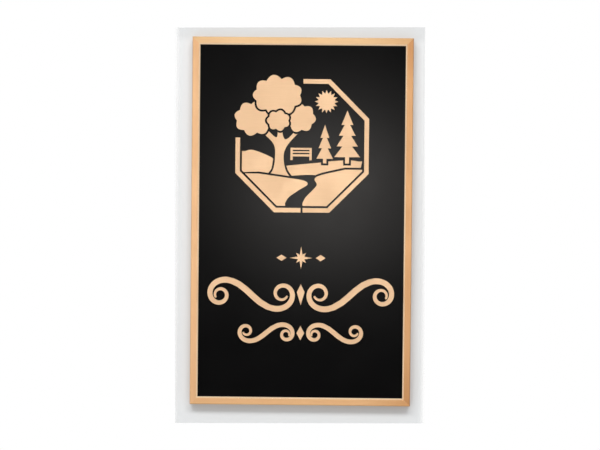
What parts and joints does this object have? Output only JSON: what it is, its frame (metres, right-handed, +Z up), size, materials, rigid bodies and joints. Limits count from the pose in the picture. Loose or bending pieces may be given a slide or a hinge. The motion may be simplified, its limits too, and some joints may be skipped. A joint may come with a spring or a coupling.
{
  "type": "framed park wall sign",
  "caption": "Tall framed wall sign: mitred bronze border round a black panel with a flat-cut bronze park scene above scroll ornament, hung on concealed studs.",
  "frame": {"origin": "centre of the back of the sign, on the wall plane", "axes": "+X to the right of a viewer who faces the sign, +Y into the wall, +Z up; the front faces -Y"},
  "size_m": [0.4572, 0.059, 0.762],
  "materials": {
    "satin_bronze": "satin",
    "satin_black": "satin",
    "mill_aluminium": "satin",
    "zinc_steel": "satin"
  },
  "bodies": {
    "root": {"frame_top": "satin_bronze", "frame_bottom": "satin_bronze", "frame_left": "satin_bronze", "frame_right": "satin_bronze", "face_panel": "satin_black", "back_panel": "mill_aluminium", "back_screw_left_upper": "zinc_steel", "back_screw_left_middle": "zinc_steel", "back_screw_left_lower": "zinc_steel", "back_screw_right_upper": "zinc_steel", "back_screw_right_middle": "zinc_steel", "back_screw_right_lower": "zinc_steel", "corner_bracket_top_left": "mill_aluminium", "corner_bracket_top_right": "mill_aluminium", "corner_bracket_bottom_left": "mill_aluminium", "corner_bracket_bottom_right": "mill_aluminium", "bracket_screw_top_left_side": "zinc_steel", "bracket_screw_top_left_end": "zinc_steel", "bracket_screw_top_right_side": "zinc_steel", "bracket_screw_top_right_end": "zinc_steel", "bracket_screw_bottom_left_side": "zinc_steel", "bracket_screw_bottom_left_end": "zinc_steel", "bracket_screw_bottom_right_side": "zinc_steel", "bracket_screw_bottom_right_end": "zinc_steel", "mounting_rail_upper": "zinc_steel", "mounting_rail_lower": "zinc_steel", "rail_screw_upper_left": "zinc_steel", "rail_screw_upper_right": "zinc_steel", "rail_screw_lower_left": "zinc_steel", "rail_screw_lower_right": "zinc_steel", "wall_stud_upper_left": "zinc_steel", "wall_stud_upper_right": "zinc_steel", "wall_stud_lower_left": "zinc_steel", "wall_stud_lower_right": "zinc_steel", "crown_front": "satin_bronze", "crown_top": "satin_bronze", "crown_left": "satin_bronze", "crown_right": "satin_bronze", "tree_trunk": "satin_bronze", "lawn_left": "satin_bronze", "lawn_right": "satin_bronze", "far_hill_left": "satin_bronze", "far_hill_right": "satin_bronze", "small_conifer": "satin_bronze", "tall_conifer": "satin_bronze", "park_bench": "satin_bronze", "sunburst": "satin_bronze", "medallion_band_left": "satin_bronze", "medallion_band_right": "satin_bronze", "star_centre": "satin_bronze", "side_lozenge_left": "satin_bronze", "side_lozenge_right": "satin_bronze", "large_scroll_left": "satin_bronze", "large_scroll_right": "satin_bronze", "large_scroll_centre": "satin_bronze", "small_scroll_left": "satin_bronze", "small_scroll_right": "satin_bronze", "small_scroll_centre": "satin_bronze"}
  },
  "joints": []
}
